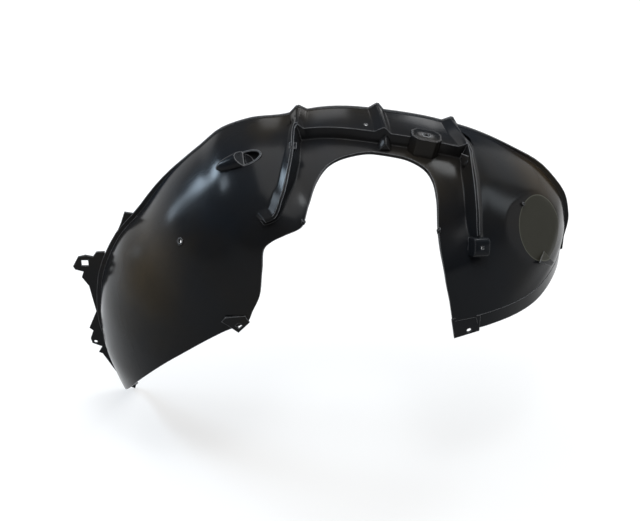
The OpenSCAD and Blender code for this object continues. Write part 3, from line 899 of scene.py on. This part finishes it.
class Tree:
    """The nodes of a material or of the world."""

    def __init__(self, owner):
        owner.use_nodes = True
        self.nodes, self.links = owner.node_tree.nodes, owner.node_tree.links
        self.nodes.clear()

    def node(self, kind, settings=None, inputs=None, output=0):
        n = self.nodes.new(kind)
        for key, value in (settings or {}).items():
            if key == "stops":
                for i, (at, colour) in enumerate(value):
                    stops = n.color_ramp.elements
                    stop = stops[i] if i < len(stops) else stops.new(at)
                    stop.position, stop.color = at, (*colour, 1)
            else:
                setattr(n, key, value)
        for key, value in (inputs or {}).items():
            if isinstance(value, Socket):
                self.links.new(value.link, n.inputs[key])
            else:
                n.inputs[key].default_value = value
        return Socket(self, n.outputs[output]) if n.outputs else None

    def fade(self, value, start, end, first, last, kind="LINEAR"):
        # Goes from the first number to the last while the value goes from start to end
        return self.node("ShaderNodeMapRange", {"interpolation_type": kind}, {
            "Value": value, "From Min": start, "From Max": end, "To Min": first, "To Max": last})

    def blend(self, factor, one, other):
        # A Mix node's colours are its inputs 6 and 7, and its output 2
        return self.node("ShaderNodeMix", {"data_type": "RGBA"}, {0: factor, 6: one, 7: (*other, 1)},
                         output=2)

    def distance(self, place_at, q):
        # From a point given as the sizes are, in metres
        return self.node("ShaderNodeVectorMath", {"operation": "DISTANCE"},
                         {0: place_at, 1: to_frame(q).tolist()}, output="Value")


BODY_COLOURS = [(0.38, (0.008, 0.0095, 0.012)), (0.52, (0.010, 0.010, 0.0105)),
                (0.68, (0.017, 0.014, 0.010))]
# The edge colour is partly rubbed wear and partly a painted highlight along the folds; the brown colour is
# a painted warm reflection
RUBBED_AND_HIGHLIT_COLOUR, WARM_REFLECTION_COLOUR = (0.2, 0.205, 0.215), (0.05, 0.034, 0.016)
# The disc's rim colour is a painted highlight line; its inner colour is a painted olive reflection on a
# rougher finish
DISC_RIM_HIGHLIGHT_COLOUR, DISC_OLIVE_REFLECTION_COLOUR = (0.07, 0.07, 0.055), (0.027, 0.026, 0.019)
ROUGHNESS, GLOSS = 0.2, 0.09
DISC_CENTRE, DISC_RIM, DISC_INSIDE = np.array([287, 118, 235.7]), (0.0502, 0.0508), (0.0488, 0.0494)
# Patches of painted warm reflection: where each lies on the dome, how far it reaches and how strong it is
WARM_REFLECTION_SPOTS = [((150, 62), 0.12, 1.0), ((44, 84), 0.095, 0.8)]


def moulded_black():
    # Clouded black plastic, with browner patches of painted warm reflection, edges lighter partly from
    # rubbing and partly as a painted highlight, and a dull disc on the oval flat with a painted highlight
    # rim and a painted olive reflection inside
    material = bpy.data.materials.new("moulded_black")
    t = Tree(material)
    place_at = t.node("ShaderNodeTexCoord", output="Object")

    def noise(scale, detail, rough=0.5, warp=0.0):
        return t.node("ShaderNodeTexNoise", {}, {
            "Vector": place_at, "Scale": scale, "Detail": detail, "Roughness": rough, "Distortion": warp})

    cloud, haze, flow = noise(5.0, 3.0), noise(22.0, 5.0, 0.6), noise(7.0, 6.0, 0.65, 2.5)
    fine, wave = noise(900.0, 2.0), noise(26.0, 1.0)
    round_edge = t.node("ShaderNodeBevel", {"samples": 8}, {"Radius": 0.002})
    true_side = t.node("ShaderNodeNewGeometry", output="Normal")
    edge = 1 - t.node("ShaderNodeVectorMath", {"operation": "DOT_PRODUCT"}, {0: round_edge, 1: true_side},
                      output="Value")
    # Lighter along every edge: partly rubbed wear, partly a painted highlight on the folds
    rubbed_and_highlit = t.fade(edge, 0.004, 0.08, 0.0, 1.0) * (haze * 0.8 + 0.4)
    # Two browner patches, a painted warm reflection
    warm_reflection = sum(t.fade(t.distance(place_at, dome(*spot)), 0.0, reach, 1.0, 0.0, "SMOOTHSTEP") * strength
                for spot, reach, strength in WARM_REFLECTION_SPOTS) * (haze * 0.9 + 0.2)
    # The disc: a rougher finish, with a painted highlight line at its rim and a painted olive reflection
    # inside
    from_disc = t.distance(place_at, DISC_CENTRE)
    disc, inside = (t.fade(from_disc, *edges, 1.0, 0.0) for edges in (DISC_RIM, DISC_INSIDE))
    colour = t.node("ShaderNodeValToRGB", {"stops": BODY_COLOURS}, {"Fac": cloud})
    for mask, other in ((warm_reflection * 0.75, WARM_REFLECTION_COLOUR), (disc, DISC_RIM_HIGHLIGHT_COLOUR), (inside, DISC_OLIVE_REFLECTION_COLOUR),
                        (rubbed_and_highlit, RUBBED_AND_HIGHLIT_COLOUR)):
        colour = t.blend(mask, colour, other)
    bump = t.node("ShaderNodeBump", {}, {
        "Strength": 0.1, "Distance": 0.0008, "Height": fine * 0.25 + wave * 1.5, "Normal": round_edge})
    shader = t.node("ShaderNodeBsdfPrincipled", {}, {
        "Base Color": colour, "Roughness": haze * 0.14 + flow * 0.16 + (ROUGHNESS - 0.15) + disc * 0.28,
        "Specular IOR Level": GLOSS, "Normal": bump})
    t.node("ShaderNodeOutputMaterial", {}, {"Surface": shader})
    return material


black = moulded_black()
for piece in pieces:
    piece.data.materials.clear()
    piece.data.materials.append(black)
    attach(piece, "root")
    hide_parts("liner")


# Floor, light and camera

# The floor in metres, the world's light by how steeply upward it comes, and the camera of the photograph
FLOOR_COLOUR, FLOOR_GLOW, FAR_GLOW, GLOW_RISE = 0.35, 0.6, 0.9, (0.6, 2.0)
FLOOR_HALF, FLOOR_GAP = 30, 0.0005
ROOM_LIGHT, HORIZON_LIGHT, HORIZON = 0.12, 1.0, (0.08, 0.16)
PHOTO_WIDTH, PHOTO_FOCAL, SENSOR_W = 640, 1320, 36
CAMERA_AT, CAMERA_PITCH = (-43, -1533.3, 1332.2), 55


def in_frame(x, y, z):
    return Vector(to_frame([x, y, z]).tolist())


def pale_floor():
    # The floor's own glow is seen by the camera and in the part, and sheds no light on it
    material = bpy.data.materials.new("pale_floor")
    t = Tree(material)
    seen = sum(t.node("ShaderNodeLightPath", output=ray)
               for ray in ("Is Camera Ray", "Is Glossy Ray", "Is Transmission Ray"))
    place_at = t.node("ShaderNodeTexCoord", output="Object")
    off_centre = t.node("ShaderNodeVectorMath", {"operation": "LENGTH"}, {0: place_at}, output="Value")
    glow = t.node("ShaderNodeEmission", {}, {
        "Strength": t.fade(off_centre, *GLOW_RISE, FLOOR_GLOW, FAR_GLOW) * seen})
    matt = t.node("ShaderNodeBsdfDiffuse", {}, {"Color": (*[FLOOR_COLOUR] * 3, 1)})
    both = t.node("ShaderNodeAddShader", {}, {0: matt, 1: glow})
    t.node("ShaderNodeOutputMaterial", {}, {"Surface": both})
    return material


def floor_under(z):
    data = bpy.data.meshes.new("floor")
    corners = [(*corner, z) for corner in box_corners(FLOOR_HALF, FLOOR_HALF)]
    data.from_pydata(corners, [], [(0, 1, 2, 3)])
    data.materials.append(pale_floor())
    floor = put("floor", data)


def studio_world():
    # Pale at the horizon, dim above it
    world = bpy.data.worlds.new("studio")
    bpy.context.scene.world = world
    t = Tree(world)
    direction = t.node("ShaderNodeTexCoord", output="Generated")
    upward = t.node("ShaderNodeSeparateXYZ", {}, {0: direction}, output="Z")
    strength = t.fade(upward, *HORIZON, HORIZON_LIGHT, ROOM_LIGHT)
    light = t.node("ShaderNodeBackground", {}, {"Strength": strength})
    t.node("ShaderNodeOutputWorld", {}, {"Surface": light})


def lamp(name, at, towards, size, power, colour=(1, 1, 1)):
    data = bpy.data.lights.new(name, "AREA")
    data.shape = "RECTANGLE"
    data.size, data.size_y = size[0] / 1000, size[1] / 1000
    data.energy, data.color = power, colour
    ob = put(name, data)
    ob.location = in_frame(*at)
    ob.rotation_euler = (in_frame(*towards) - in_frame(*at)).to_track_quat("-Z", "Y").to_euler()


# Each lamp's place, the point that it faces, its size, its power in watts and its colour
LAMPS = {
    "overhead": ((0, 250, 2300), (0, 150, 200), (2200, 2200), 54, (1.0, 0.99, 0.975)),
    "left": ((-1690, 940, 960), (-200, 150, 330), (340, 340), 12, (0.66, 0.83, 1.0)),
    "left_low": ((-1800, 880, 620), (-200, 150, 250), (260, 600), 4, (0.7, 0.85, 1.0)),
    "left_high": ((-1827, 392, 1425), (-175, 100, 335), (380, 520), 11, (0.74, 0.87, 1.0)),
    "right_high": ((1190, 1020, 1780), (125, 127, 340), (500, 500), 9, (0.95, 0.98, 1.0)),
    "back": ((-150, 1735, 1250), (0, 100, 300), (500, 500), 2),
    "front": ((198, -340, 2260), (-72, 63, 320), (400, 400), 9, (0.93, 0.97, 1.0)),
    "right": ((1500, 1240, 910), (200, 150, 300), (900, 900), 3, (0.95, 0.98, 1.0)),
    "turret_top": ((624, 1717, 1122), (118, 160, 375), (300, 300), 1.4),
    "right_side": ((2000, 280, 1140), (200, 120, 300), (450, 800), 6, (0.85, 0.94, 1.0))}


def photo_camera():
    data = bpy.data.cameras.new("camera")
    data.sensor_fit = "HORIZONTAL"
    data.sensor_width = SENSOR_W
    data.lens = SENSOR_W * PHOTO_FOCAL / PHOTO_WIDTH
    data.clip_end = 50
    ob = put("camera", data)
    ob.location = in_frame(*CAMERA_AT)
    ob.rotation_euler = (math.radians(CAMERA_PITCH), 0, 0)
    bpy.context.scene.camera = ob


floor_under(solid_low[2] - FLOOR_GAP)
studio_world()
for name, setting in LAMPS.items():
    lamp(name, *setting)
photo_camera()
bpy.context.scene.view_settings.view_transform = "Standard"
